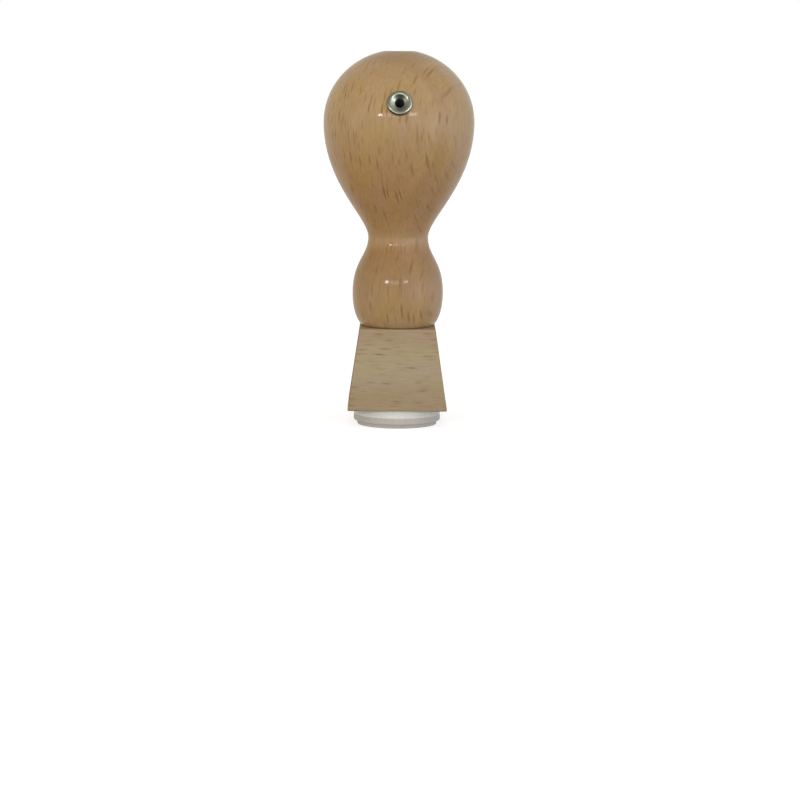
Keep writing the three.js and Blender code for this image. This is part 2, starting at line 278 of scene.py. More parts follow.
        # brushed lacquer is never quite flat: long shallow waves, with a trace of the grain
        waves = addNode(tree, "TexNoise", {"Vector": grain.outputs[0], "Scale": 1 / look["waveSize"],
                                           "Detail": 1.0})
        film = addNode(tree, "Math", {0: relief, 1: look["grainThrough"], 2: waves.outputs[0]},
                       operation="MULTIPLY_ADD")
        lacquer = addNode(tree, "Bump", {"Height": film.outputs[0], "Strength": 1.0,
                                         "Distance": look["waveDepth"] * mm})
        tree.links.new(lacquer.outputs[0], shader.inputs["Coat Normal"])
    finishMaterial(tree, shader)
    return material


lacqueredBeechLook = dict(
    shift=(3.0, 11.0, 5.0),
    grainTurn=(0, 0, 24),        # the rays run back and to the right of the front mark
    wanderSize=20.0, wander=2.0,
    rosy="#b69776",
    layers=[
        # yellow patches, late wood and fibres, over the rosy wood: the width of each in mm, how fast
        # it changes across the rays, along them and along the grain, and where it starts and is full
        dict(tone="#b59766", width=5.0, pace=(1, 1, 0.4), detail=2.0, starts=0.35, full=0.65, depth=1.0),
        dict(tone="#a08155", width=2.4, pace=(0.06, 1, 0.015), detail=2.0, starts=0.4, full=0.7,
             depth=0.35),
        dict(tone="#9b7c4e", width=0.45, pace=(1, 1, 0.11), detail=3.0, starts=0.35, full=0.75,
             depth=0.46),
    ],
    paintedShading=[
        # a tone, then the heights in mm where it starts, is full, starts to go and is gone
        ("#fff2e7", 68, 50, 42, 36),             # painted shade: deeper and warmer under the ball's overhang
        ("#f5fbff", 44.5, 42.5, 40.5, 38.5),     # painted sheen: a little greyer and cooler round the waist
        ("#e4dad1", 41, 38, 36, 19),             # painted shade: darkest on the foot's shoulder, under the ball
    ],
    endGrainCut=(0.8, 0.97),     # how squarely a cut crosses the fibres where end grain starts, is full
    endGrain="#e2d8c8", endRay="#b59a72", rayOnEnd=0.4,
    rayCut=(0.1, 0.45),          # how squarely a cut crosses a ray where its dash starts, is full
    rayAlong=0.25,               # how much of a ray's dark still shows where it is cut lengthwise
    rayBrown="#785426", rayRed="#824e28",
    rayScatter=0.9,
    raySmall=0.25,               # rays of less than this share of the random size fade out
    rayFaintest=0.45,            # the palest ray's depth, as a share of the darkest one's
    rayGroove=0.8,
    rays=[
        # a cell that may hold one ray, in mm, then the ray's half size in shares of its cell
        dict(apart=1.3, cell=8.4, size=0.14, spread=0.14, share=0.9, depth=0.6, core=0.3),
        dict(apart=1.1, cell=6.6, size=0.15, spread=0.12, share=0.75, depth=0.36, core=0.3),
        dict(apart=0.6, cell=3.2, size=0.2, spread=0.1, share=0.8, depth=0.16, core=0.3),
    ],
    bump=0.2, grainDepth=0.05, roughness=0.5, specular=0.05, ior=1.5,
    coat=0.46, coatRoughness=0.085, waveSize=3.2, waveDepth=0.02, grainThrough=0.08,
)
rawBeechLook = dict(
    lacqueredBeechLook,
    shift=(17.0, 4.0, 9.0),
    grainTurn=(0, 90, 0),        # the block's grain lies across, its rays from front to back
    rosy="#ac9b83",
    layers=[
        dict(tone="#ab9c79", width=5.0, pace=(1, 1, 0.4), detail=2.0, starts=0.35, full=0.65, depth=1.0),
        dict(tone="#968363", width=2.4, pace=(0.06, 1, 0.015), detail=2.0, starts=0.4, full=0.7,
             depth=0.35),
        dict(tone="#927f60", width=0.4, pace=(1, 1, 0.11), detail=3.0, starts=0.35, full=0.75,
             depth=0.44),
    ],
    paintedShading=[
        ("#f6eeea", 23, 21, 20.5, 15),   # painted shade: darker just under the handle's foot
        ("#f2eae8", 12, 5, 0, -1),       # a little darker towards the base
    ],
    endGrain="#e9d8c8", endRay="#9f876c",
    rayBrown="#7e6440", rayRed="#8a6a44",
    bump=0.6, roughness=0.8, specular=0.25, coat=0.0,
    rays=[
        dict(apart=1.2, cell=7.4, size=0.16, spread=0.14, share=0.76, depth=0.74, core=0.1),
        dict(apart=0.8, cell=5.6, size=0.16, spread=0.16, share=0.65, depth=0.44, core=0.0),
        dict(apart=0.5, cell=4.0, size=0.2, spread=0.1, share=0.7, depth=0.15, core=0.1),
    ],
)


# The other finishes

def makeMetal(name, look):
    # plated metal: bright, with a cloudy haze that the plating bath leaves
    material, tree, inMm = startMaterial(name)
    haze = addNode(tree, "TexNoise", {"Vector": inMm, "Scale": 1 / look["hazeSize"], "Detail": 3.0})
    tint = addNode(tree, "Mix", {0: haze.outputs[0], 6: fromHex(look["bright"]),
                                 7: fromHex(look["dull"])}, data_type="RGBA")
    polish = addNode(tree, "MapRange", {0: haze.outputs[0], 1: look["hazeStarts"], 2: look["hazeFull"],
                                        3: look["smooth"], 4: look["rough"]})
    dents = addNode(tree, "Bump", {"Height": haze.outputs[0], "Strength": look["dentStrength"],
                                   "Distance": look["dentDepth"] * mm})
    shader = addNode(tree, "BsdfPrincipled", {
        "Base Color": tint.outputs[2], "Roughness": polish.outputs[0], "Metallic": 1.0,
        "Normal": dents.outputs[0]})
    finishMaterial(tree, shader)
    return material


def makeFoam(look):
    # closed-cell foam: cutting opens its cells, which leaves a matte, finely pitted edge
    material, tree, inMm = startMaterial("closed_cell_foam")
    cells = addNode(tree, "TexVoronoi", {"Vector": inMm, "Scale": 1 / look["cellSize"]})
    wall = addNode(tree, "MapRange", {0: cells.outputs["Distance"], 1: look["wallStarts"],
                                      2: look["wallFull"]})
    # painted shade: the opened cells' pits are darker than the walls between them
    tint = addNode(tree, "Mix", {0: wall.outputs[0], 6: fromHex(look["pit"]), 7: fromHex(look["wall"])},
                   data_type="RGBA")
    pits = addNode(tree, "Bump", {"Height": cells.outputs["Distance"], "Strength": look["pitStrength"],
                                  "Distance": look["pitDepth"] * mm})
    finishMaterial(tree, addNode(tree, "BsdfPrincipled", {
        "Base Color": tint.outputs[2], "Roughness": look["roughness"], "Normal": pits.outputs[0]}))
    return material


def makeRubber(look):
    # laser-engraved stamp rubber: dusty and matte, with the fine lines that the beam leaves
    material, tree, inMm = startMaterial("engraved_rubber")
    waveAtOne = math.pi / 10           # mm from wave to wave at a scale of 1
    lines = addNode(tree, "TexWave", {"Vector": inMm, "Scale": waveAtOne / look["lineStep"],
                                      "Distortion": look["lineWobble"], "Detail": 1.0},
                    bands_direction="Y")
    dust = addNode(tree, "TexNoise", {"Vector": inMm, "Scale": 1 / look["dustSize"], "Detail": 4.0})
    height = addNode(tree, "SeparateXYZ", {0: inMm})
    # the printing face keeps the moulded sheet's smooth skin; what lies deeper is engraved
    engraved = addNode(tree, "MapRange", {0: height.outputs[2], 1: look["cutStarts"],
                                          2: look["cutFull"]}).outputs[0]
    tint = addNode(tree, "Mix", {0: engraved, 6: fromHex(look["skin"]), 7: fromHex(look["cut"])},
                   data_type="RGBA")
    dusty = addNode(tree, "MapRange", {0: dust.outputs[0], 1: look["dustStarts"], 2: look["dustFull"],
                                       3: 0, 4: look["dustShare"]})
    dusted = addNode(tree, "Mix", {0: dusty.outputs[0], 6: tint.outputs[2], 7: fromHex(look["dust"])},
                     data_type="RGBA")
    grooves = addNode(tree, "Math", {0: lines.outputs[1], 1: engraved}, operation="MULTIPLY")
    rough = addNode(tree, "Math", {0: dust.outputs[0], 1: look["dustHeight"], 2: grooves.outputs[0]},
                    operation="MULTIPLY_ADD")
    bump = addNode(tree, "Bump", {"Height": rough.outputs[0], "Strength": look["grooveStrength"],
                                  "Distance": look["grooveDepth"] * mm})
    finishMaterial(tree, addNode(tree, "BsdfPrincipled", {
        "Base Color": dusted.outputs[2], "Roughness": look["roughness"], "Normal": bump.outputs[0]}))
    return material


def makeAdhesive(look):
    # thin double-sided film: pale and a little glossy at its cut edge
    material, tree, inMm = startMaterial("adhesive_film")
    smear = addNode(tree, "TexNoise", {"Vector": inMm, "Scale": 1 / look["smearSize"], "Detail": 2.0})
    tint = addNode(tree, "Mix", {0: smear.outputs[0], 6: fromHex(look["clear"]),
                                 7: fromHex(look["cloudy"])}, data_type="RGBA")
    bump = addNode(tree, "Bump", {"Height": smear.outputs[0], "Strength": look["smearStrength"],
                                  "Distance": look["smearDepth"] * mm})
    finishMaterial(tree, addNode(tree, "BsdfPrincipled", {
        "Base Color": tint.outputs[2], "Roughness": look["roughness"], "Normal": bump.outputs[0]}))
    return material


# sizes and depths in mm
platingLook = dict(hazeStarts=0.3, hazeFull=0.7, dentStrength=0.15, dentDepth=0.03)
nickelLook = dict(platingLook, bright="#a9ad9b", dull="#909484", hazeSize=1.2, smooth=0.11, rough=0.22)
# inside the barrel the plating is thin and has gone blue-grey and dull
oxidisedLook = dict(platingLook, bright="#a2abbb", dull="#7d8593", hazeSize=0.8, smooth=0.5, rough=0.7)
zincLook = dict(platingLook, bright="#c2c2bd", dull="#a2a19b", hazeSize=2.0, smooth=0.25, rough=0.45)
foamLook = dict(
    # the pits' darker tone is painted shade in the hollows
    pit="#c9c8c3", wall="#e0dfd9", cellSize=0.22, wallStarts=0.1, wallFull=0.6,
    pitStrength=0.6, pitDepth=0.08, roughness=0.9,
)
rubberLook = dict(
    skin="#aaa59d", cut="#b7b2aa", cutStarts=0.02, cutFull=0.12,     # heights above the printing face
    dust="#c6c2ba", dustSize=0.5, dustStarts=0.4, dustFull=0.7, dustShare=0.5, dustHeight=0.5,
    lineStep=0.14, lineWobble=0.6, grooveStrength=0.4, grooveDepth=0.04, roughness=0.7,
)
adhesiveLook = dict(
    clear="#d9d2bd", cloudy="#e2ddcc", smearSize=1.5, smearStrength=0.2, smearDepth=0.02,
    roughness=0.35,
)

lacqueredBeech = makeBeech("lacquered_beech", lacqueredBeechLook)
rawBeech = makeBeech("raw_beech", rawBeechLook)
nickel = makeMetal("nickel_plated_brass", nickelLook)
oxidised = makeMetal("oxidised_nickel", oxidisedLook)
zincSteel = makeMetal("zinc_plated_steel", zincLook)
foam = makeFoam(foamLook)
rubber = makeRubber(rubberLook)
adhesive = makeAdhesive(adhesiveLook)
print("finishes made, from lacquered beech to adhesive film")


# Handle, turned on a lathe from one beech blank. Heights are above its seat on the block.

handleTurning = dict(
    ballRadius=16.5,
    crownRise=15.4,              # crown above the ball's widest turn
    crownFacing=0.32,            # what the flat crown takes off the ball's full ellipse
    waistRadius=6.6, waistLevel=19.5,
    footRadius=10.0, footLevel=7.2,
    seatRadius=7.4, seatRounding=1.1,
    # how far the curves run straight on at their two ends, in shares of their height
    ballToWaist=(0.53, 0.17), waistToFoot=(0.33, 0.58), footToSeat=0.62,
    pilotRadius=2.2, pilotDepth=17.0,
    steps=200, curveSteps=60,
)


def makeHandle(turning):
    height = (crownLevel - seatLevel) / mm
    foot, waist, ball = turning["footRadius"], turning["waistRadius"], turning["ballRadius"]
    footLevel, waistLevel = turning["footLevel"], turning["waistLevel"]
    ballLevel = height - turning["crownRise"]
    neck = ballLevel - waistLevel
    skirt = waistLevel - footLevel
    dome = turning["crownRise"] + turning["crownFacing"]
    seat, pilot, depth = turning["seatRadius"], turning["pilotRadius"], turning["pilotDepth"]
    underBall, overWaist = turning["ballToWaist"]
    underWaist, overFoot = turning["waistToFoot"]
    steps = turning["curveSteps"]
    profile = trace(
        (0, depth),
        ("line", (pilot, depth)),
        ("line", (pilot, 0)),
        ("line", (seat, 0)),
        ("curve", (seat + turning["seatRounding"], 0), (foot, footLevel * (1 - turning["footToSeat"])),
         (foot, footLevel), steps),
        ("curve", (foot, footLevel + skirt * overFoot), (waist, waistLevel - skirt * underWaist),
         (waist, waistLevel), steps),
        ("curve", (waist, waistLevel + neck * overWaist), (ball, ballLevel - neck * underBall),
         (ball, ballLevel), steps),
        ("arc", (0, ballLevel), ball, dome, 0, math.asin(turning["crownRise"] / dome), steps),
        ("line", (0, height)),
    )
    bm = turned(profile, turning["steps"])
    bmesh.ops.translate(bm, vec=(0, 0, seatLevel), verts=bm.verts)
    return combined(bm, makePocket(eyeletShape), "DIFFERENCE")


# Front eyelet, a hollow rivet pressed into the ball. Heights are above the ball's surface.

eyeletShape = dict(
    rise=4.5,                    # above the ball's widest turn
    flangeRadius=2.75, barrelRadius=1.7, holeRadius=0.98, barrelLength=6.0,
    edgeRounding=0.1, edgeSteps=8,
    crown=0.52, crestRadius=2.2,
    rollOut=0.42, rollEdge=(0.02, 0.3), rollSteps=28,          # how the flange rolls up to its crest
    funnel=0.5,                  # its mouth falls away this far inside the crest
    funnelPull=0.6, funnelTop=0.72, funnelSteps=10,
    throat=(0.1, 0.1), throatRounding=0.2, throatSteps=6,      # where the funnel runs into the hole
    dullFrom=0.0, dullReach=1.1,     # below this, and within this share of the hole's radius, it is dull
    seatDepth=0.26,              # its flange sits this deep in the ball's front
    pocketRadius=1.75, pocketSpare=0.6, seatRadius=2.82,
    cutterRise=2.0,              # how far the pocket's cutter stands out of the ball
    steps=96,
)


def eyeletPlace(turning, shape):
    # where it sits on the ball, turned so that its own Z stands square to the wood
    dome = turning["crownRise"] + turning["crownFacing"]
    angle = math.asin(shape["rise"] / dome)
    tilt = math.atan2(math.sin(angle) / dome, math.cos(angle) / turning["ballRadius"])
    height = crownLevel - (turning["crownRise"] - shape["rise"]) * mm
    spot = Matrix.Translation((0, -turning["ballRadius"] * math.cos(angle) * mm, height))
    return spot @ Matrix.Rotation(math.pi / 2 - tilt, 4, "X")


def makePocket(shape):
    floor = -shape["barrelLength"] - shape["seatDepth"] - shape["pocketSpare"]
    bore, seat, above = shape["pocketRadius"], shape["seatRadius"], shape["cutterRise"]
    profile = trace(
        (0, floor),
        ("line", (bore, floor)),
        ("line", (bore, -shape["seatDepth"])),
        ("line", (seat, -shape["seatDepth"])),
        ("line", (seat, above)),
        ("line", (0, above)),
    )
    bm = turned(profile, shape["steps"])
    bm.transform(eyeletPlace(handleTurning, shape))
    return bm


def dullInside(piece, shape, material):
    # plating hardly reaches down the barrel, so the hole stays dark
    inward = eyeletPlace(handleTurning, shape).inverted()
    mesh = piece.data
    mesh.materials.append(material)
    for face in mesh.polygons:
        spot = inward @ face.center / mm
        inHole = math.hypot(spot.x, spot.y) < shape["holeRadius"] * shape["dullReach"]
        if spot.z < -shape["dullFrom"] and inHole:
            face.material_index = 1


def makeEyelet(shape):
    # a barrel whose mouth is flared and rolled over into the flange, with its edge in the wood
    under, foot = -shape["seatDepth"], -shape["seatDepth"] - shape["barrelLength"]
    rim, crest, hole = shape["flangeRadius"], shape["crestRadius"], shape["holeRadius"]
    crown, edge, funnel = shape["crown"], shape["edgeRounding"], shape["funnel"]
    rollBack, rollUp = shape["rollEdge"]
    throatOut, throatUp = shape["throat"]
    profile = trace(
        (hole, foot),
        ("line", (shape["barrelRadius"], foot)),
        ("line", (shape["barrelRadius"], under)),
        ("line", (rim - edge, under)),
        ("bend", (rim, under), (rim, under + edge), shape["edgeSteps"]),
        ("curve", (rim - rollBack, crown * rollUp), (crest + shape["rollOut"], crown), (crest, crown),
         shape["rollSteps"]),
        ("bend", (crest - shape["funnelPull"] * funnel, crown),
         (crest - funnel, crown * shape["funnelTop"]), shape["funnelSteps"]),
        ("line", (hole + throatOut, crown * throatUp)),
        ("bend", (hole, 0), (hole, -shape["throatRounding"]), shape["throatSteps"]),
    )
    bm = turned(profile, shape["steps"], closed=True)
    bm.transform(eyeletPlace(handleTurning, shape))
    return bm


finishPiece(makeHandle(handleTurning), "turned_handle", "handle", lacqueredBeech)
eyelet = finishPiece(makeEyelet(eyeletShape), "rolled_eyelet", "front_eyelet", nickel)
dullInside(eyelet, eyeletShape, oxidised)


# Dowel screw: pointed at both ends, with one thread in the handle and one in the block

screwShape = dict(
    core=1.45, tip=0.3, point=3.2, coreSteps=48,
    crest=2.0, pitch=1.8, threadRoot=0.75,
    crestFlat=0.1,               # of the thread's root
    threadSunk=0.15,             # its root runs this deep in the core, so that they join
    tipGap=0.6, bareMiddle=2.4,  # bare of thread
    pointShare=0.22,             # how much of the thread's radius is left at a point
    stepsPerTurn=24, sharp=30,
)


def makeScrew(shape):
    low, high = [corner.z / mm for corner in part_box("dowel_screw")]
    taper, tip, core = shape["point"], shape["tip"], shape["core"]
    screw = turned(trace(
        (0, low),
        ("line", (tip, low)),
        ("line", (core, low + taper)),
        ("line", (core, high - taper)),
        ("line", (tip, high)),
        ("line", (0, high)),
    ), shape["coreSteps"])
    root, crest, half = core - shape["threadSunk"], shape["crest"], shape["threadRoot"] / 2
    for start, end in ((low + shape["tipGap"], seatLevel / mm - shape["bareMiddle"] / 2),
                       (seatLevel / mm + shape["bareMiddle"] / 2, high - shape["tipGap"])):
        turns = (end - start - shape["threadRoot"]) / shape["pitch"]
        steps = round(turns * shape["stepsPerTurn"])
        bm = bmesh.new()
        section = [
            Vector((root, 0, start)),
            Vector((crest, 0, start + half * (1 - shape["crestFlat"]))),
            Vector((crest, 0, start + half * (1 + shape["crestFlat"]))),
            Vector((root, 0, start + 2 * half)),
        ]
        verts, edges = drawChain(bm, [point * mm for point in section], closed=True)
        face = bm.faces.new(verts)
        bmesh.ops.spin(bm, geom=[face] + edges + verts, cent=(0, 0, 0), axis=(0, 0, 1),
                       dvec=(0, 0, shape["pitch"] * turns / steps * mm), angle=2 * math.pi * turns,
                       steps=steps, use_merge=False, use_duplicate=False)
        for vert in bm.verts:
            # the thread runs out towards each point
            reach = min(vert.co.z / mm - low, high - vert.co.z / mm, taper) / taper
            share = shape["pointShare"] + (1 - shape["pointShare"]) * reach
            vert.co.x *= share
            vert.co.y *= share
        bmesh.ops.remove_doubles(bm, verts=bm.verts, dist=weld)
        bmesh.ops.recalc_face_normals(bm, faces=bm.faces)
        screw = combined(screw, bm, "UNION")
    return screw


finishPiece(makeScrew(screwShape), "threaded_screw", "dowel_screw", zincSteel,
            screwShape["sharp"])


# Mounting block, sawn to a taper and lightly sanded

blockShape = dict(
    top=16.6, base=21.8,
    arris=0.3, arrisSteps=4,
    pilotRadius=2.2, pilotDepth=13.7, pilotSteps=48,
    drillRise=1.0,               # how far the pilot's cutter stands out of the top
    sharp=50,
)


def makeBlock(shape):
    low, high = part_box("mount_block")
    middle = (high.z + low.z) / 2
    bm = bmesh.new()
    bmesh.ops.create_cube(bm, size=1.0)
    bmesh.ops.scale(bm, vec=(shape["base"] * mm, shape["base"] * mm, high.z - low.z), verts=bm.verts)
    bmesh.ops.translate(bm, vec=(0, 0, middle), verts=bm.verts)
    share = shape["top"] / shape["base"]
    bmesh.ops.scale(bm, vec=(share, share, 1), verts=[v for v in bm.verts if v.co.z > middle])
    bmesh.ops.bevel(bm, geom=bm.edges, offset=shape["arris"] * mm, affect="EDGES",
                    segments=shape["arrisSteps"], profile=0.5, material=-1, clamp_overlap=True)
    floor, above = high.z / mm - shape["pilotDepth"], high.z / mm + shape["drillRise"]
    pilot = turned(trace(
        (0, floor),
        ("line", (shape["pilotRadius"], floor)),
        ("line", (shape["pilotRadius"], above)),
        ("line", (0, above)),
    ), shape["pilotSteps"])
    return combined(bm, pilot, "DIFFERENCE")


finishPiece(makeBlock(blockShape), "tapered_block", "mount_block", rawBeech,
            blockShape["sharp"])


# Die, cushion and films, cut to the figure's outline. The figure is a laughing theatre mask, drawn
# with y running down from the tips of its horns; the block's front is at its chin.

figureShape = dict(
    width=17.5, side=11.1, chin=7.98, browSag=1.96, band=1.56, hornRounding=0.12,
    margin=0.8, marginCorner=1.2,
    eyeOffset=3.36, eyeTop=5.63, eyeThickness=1.58, eyeOuter=2.18, eyeInner=2.62,
    eyeOuterDrop=2.33, eyeInnerDrop=3.05, eyeFoot=0.52,
    # where the eye is widest and how its curves are pulled, in shares of its reach and its heights
    eyeBulge=0.7, eyeTipReach=0.8, eyeTipPull=0.55, eyeLidPull=0.48, eyeBrowPulls=(0.5, 0.52),
    eyeInnerPulls=(0.4, 0.82, 0.45), eyeFootPulls=(0.75, 0.65, 0.42),
    mouthWidth=9.48, mouthTop=10.6, mouthTipInset=0.14, mouthSag=2.7, mouthDepth=4.54, mouthTip=0.77,
    relief=1.0, shoulder=0.22, sharp=25,
    cushionWaist=0.15,           # how far the soft cushion's cut edge draws in at half its height
)


def maskOutline(shape, margin, corner, steps=40, cornerSteps=10):
    half = shape["width"] / 2 + margin
    radius = ((shape["width"] / 2) ** 2 + shape["browSag"] ** 2) / (2 * shape["browSag"])
    centre = radius - shape["browSag"]
    cornerX = half - corner
    cornerY = centre - math.sqrt((radius - margin + corner) ** 2 - cornerX ** 2)
    lean = math.atan2(centre - cornerY, -cornerX)
    brow = math.atan2(cornerY - centre, cornerX)
    return trace(
        (half, -shape["side"]),
        ("arc", (cornerX, cornerY), corner, corner, 0, lean, cornerSteps),
        ("arc", (0, centre), radius - margin, radius - margin, brow, -math.pi - brow, steps),
        ("arc", (-cornerX, cornerY), corner, corner, math.pi - lean, math.pi, cornerSteps),
        ("arc", (0, -shape["side"]), half, shape["chin"] + margin, math.pi, 2 * math.pi, 2 * steps),
    )


def eyeOutline(shape, side, steps=16):
    def at(reach, y):
        return side * (shape["eyeOffset"] + reach), y

    def between(a, b, share):
        return a + (b - a) * share

    top = -shape["eyeTop"]
    under, foot = top - shape["eyeThickness"], top - shape["eyeInnerDrop"]
    outerTip = top - shape["eyeOuterDrop"]
    bulge = between(top, outerTip, shape["eyeBulge"])
    outer, inner = shape["eyeOuter"], shape["eyeInner"]
    tip, footOuter = shape["eyeTipReach"] * outer, shape["eyeFoot"] - inner
    browDrop, browOut = shape["eyeBrowPulls"]
    innerOut, innerIn, innerDrop = shape["eyeInnerPulls"]
    footOut, footRise, footIn = shape["eyeFootPulls"]
    return trace(
        at(tip, outerTip),
        ("bend", at(outer, between(outerTip, bulge, shape["eyeTipPull"])), at(outer, bulge), steps),
        ("curve", at(outer, between(top, bulge, browDrop)), at(browOut * outer, top), at(0, top), steps),
        ("curve", at(-innerOut * inner, top), at(-innerIn * inner, between(top, foot, innerDrop)),
         at(-inner, foot), steps),
        ("line", at(footOuter, foot)),
        ("curve", at(footOut * footOuter, between(under, foot, footRise)), at(footIn * footOuter, under),
         at(0, under), steps),
        ("bend", at(shape["eyeLidPull"] * outer, under), at(tip, outerTip), steps),
    )


def mouthOutline(shape, steps=16):
    cheek = shape["mouthWidth"] / 2
    tipX, tipY = cheek - shape["mouthTipInset"], -shape["mouthTop"]
    lipY = tipY - shape["mouthTip"]
    radius = (tipX ** 2 + shape["mouthSag"] ** 2) / (2 * shape["mouthSag"])
    centre = tipY + radius - shape["mouthSag"]
    angle = math.atan2(tipY - centre, tipX)
    lower = shape["mouthDepth"] - shape["mouthTip"]
    return trace(
        (-tipX, tipY),
        ("bend", (-cheek, (tipY + lipY) / 2), (-cheek, lipY), steps // 2),
        ("arc", (0, lipY), cheek, lower, math.pi, 2 * math.pi, 3 * steps),
        ("bend", (cheek, (tipY + lipY) / 2), (tipX, tipY), steps // 2),
        ("arc", (0, centre), radius, radius, angle, -math.pi - angle, 3 * steps),
    )


def drawOutline(bm, shape, outline, level):
    # the figure's middle goes to the origin
    middle = (shape["side"] + shape["chin"]) / 2
    placed = [Vector((point.x, point.y + middle, level)) * mm for point in outline]
    return drawChain(bm, placed, closed=True)[1]


def filled(bm, edges):
    made = bmesh.ops.triangle_fill(bm, edges=edges, use_beauty=True, normal=(0, 0, -1))
    return [part for part in made["geom"] if isinstance(part, bmesh.types.BMFace)]


def makeLayer(shape, node, waist=0.0, cuts=5):
    # a flat layer of the die's outline; a soft one is drawn in a little along its cut edge
    low, high = [corner.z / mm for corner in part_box(node)]
    bm = bmesh.new()
    edges = drawOutline(bm, shape, maskOutline(shape, shape["margin"], shape["marginCorner"]), low)
    faces = filled(bm, edges)
    walls = bmesh.ops.extrude_face_region(bm, geom=faces, use_keep_orig=True)
    raised = [part for part in walls["geom"] if isinstance(part, bmesh.types.BMVert)]
    bmesh.ops.translate(bm, vec=(0, 0, (high - low) * mm), verts=raised)
    bmesh.ops.remove_doubles(bm, verts=bm.verts, dist=weld)
    bmesh.ops.recalc_face_normals(bm, faces=bm.faces)
    if waist:
        upright = [edge for edge in bm.edges
                   if abs(edge.verts[0].co.z - edge.verts[1].co.z) > (high - low) / 2 * mm]
        bmesh.ops.subdivide_edges(bm, edges=upright, cuts=cuts, use_grid_fill=True)
        for vert in bm.verts:
            # nothing at both faces, most halfway between them
            share = (vert.co.z / mm - low) / (high - low)
            pull = 1 - waist / (shape["width"] / 2) * 4 * share * (1 - share)
            vert.co.x *= pull
            vert.co.y *= pull
    return bm


def makeDie(shape):
    # the floor and the figure are drawn on one plane, then the figure is drawn down out of it with
    # sloping shoulders, as the laser leaves it
    low, high = [corner.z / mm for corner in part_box("rubber_die")]
    floor = low + shape["relief"]
    rounding = shape["hornRounding"]
    bm = bmesh.new()
    rim = drawOutline(bm, shape, maskOutline(shape, shape["margin"], shape["marginCorner"]), floor)
    bandOuter = drawOutline(bm, shape, maskOutline(shape, 0, rounding), floor)
    bandInner = drawOutline(bm, shape, maskOutline(shape, -shape["band"], rounding), floor)
    marks = [drawOutline(bm, shape, outline, floor)
             for outline in (eyeOutline(shape, -1), eyeOutline(shape, 1), mouthOutline(shape))]
    filled(bm, rim + bandOuter)
    filled(bm, bandInner + marks[0] + marks[1] + marks[2])
    raised = filled(bm, bandOuter + bandInner)
    for mark in marks:
        raised += filled(bm, mark)
    for face in bm.faces:
        if face.normal.z > 0:
            face.normal_flip()
    bmesh.ops.inset_region(bm, faces=raised, thickness=shape["shoulder"] * mm, depth=0,
                           use_outset=True, use_even_offset=True, use_boundary=True)
    verts = {vert for face in raised for vert in face.verts}
    bmesh.ops.translate(bm, vec=(0, 0, -shape["relief"] * mm), verts=list(verts))
    rimEdges = [edge for edge in bm.edges if edge.is_boundary]
    walls = bmesh.ops.extrude_edge_only(bm, edges=rimEdges)
    upper = [part for part in walls["geom"] if isinstance(part, bmesh.types.BMVert)]
    bmesh.ops.translate(bm, vec=(0, 0, (high - floor) * mm), verts=upper)
    filled(bm, [part for part in walls["geom"] if isinstance(part, bmesh.types.BMEdge)])
    bmesh.ops.recalc_face_normals(bm, faces=bm.faces)
    return bm


for node, name in (("upper_adhesive", "upper_film"), ("lower_adhesive", "lower_film")):
    finishPiece(makeLayer(figureShape, node), name, node, adhesive)
softLayer = makeLayer(figureShape, "cushion", figureShape["cushionWaist"])
cushion = finishPiece(softLayer, "foam_cushion", "cushion", foam)
finishPiece(makeDie(figureShape), "engraved_die", "rubber_die", rubber,
            figureShape["sharp"])


# Studio: a pale floor and a white surround. Light comes as a broad band from the front, like a row
# of windows, with small lamps that put the sparkle on lacquer and metal.

studio = dict(
    floorSize=6.0, floorColour="#e6e6e6", floorGlow=0.62,
    floorDrop=0.02,              # mm under the die, so that the two faces never meet
    # the room's brightness by height, from straight down, -1, to straight up, 1
    brightest=2.2,
    front=[(-0.8, 0.05), (-0.35, 0.12), (0.0, 0.82), (0.35, 0.40), (0.8, 0.36)],
    behind=[(-0.6, 0.08), (0.0, 0.48), (0.6, 0.13)],
    frontStarts=0.35, frontFull=-0.55,   # from straight behind, 1, to the front, -1
    leftTint="#fff8ee", rightTint="#f7faff",
    leftLight=0.98, rightLight=1.04,
    # as lacquer and metal mirror it: to the right, and where it fades to plain white behind
    leftShine=0.65, rightShine=1.7, shineStarts=0.0, shineFull=0.9,
    rearStarts=0.2, rearFull=0.7,
)


def makeFloor(look):
    material, tree = startMaterial("studio_floor")[:2]
    path = addNode(tree, "LightPath")
    side = addNode(tree, "NewGeometry")
    matte = addNode(tree, "BsdfDiffuse", {"Color": fromHex(look["floorColour"])})
    glow = addNode(tree, "Math", {0: path.outputs["Is Camera Ray"], 1: look["floorGlow"]},
                   operation="MULTIPLY")
    glowing = addNode(tree, "Emission", {"Strength": glow.outputs[0]})
    lit = addNode(tree, "AddShader", {0: matte.outputs[0], 1: glowing.outputs[0]})
    # nothing hides the stamp from below
    clear = addNode(tree, "BsdfTransparent")
    seen = addNode(tree, "MixShader", {0: side.outputs["Backfacing"], 1: lit.outputs[0],
                                       2: clear.outputs[0]})
    finishMaterial(tree, seen)
    bm = bmesh.new()
    bmesh.ops.create_grid(bm, x_segments=1, y_segments=1, size=look["floorSize"] / 2)
    mesh = bpy.data.meshes.new("floor")
    bm.to_mesh(mesh)
    bm.free()
    floor = bpy.data.objects.new("floor", mesh)
    floor.location.z = -look["floorDrop"] * mm
    bpy.context.scene.collection.objects.link(floor)
    mesh.materials.append(material)
    floor.visible_diffuse = floor.visible_glossy = False
    floor.visible_transmission = floor.visible_shadow = False


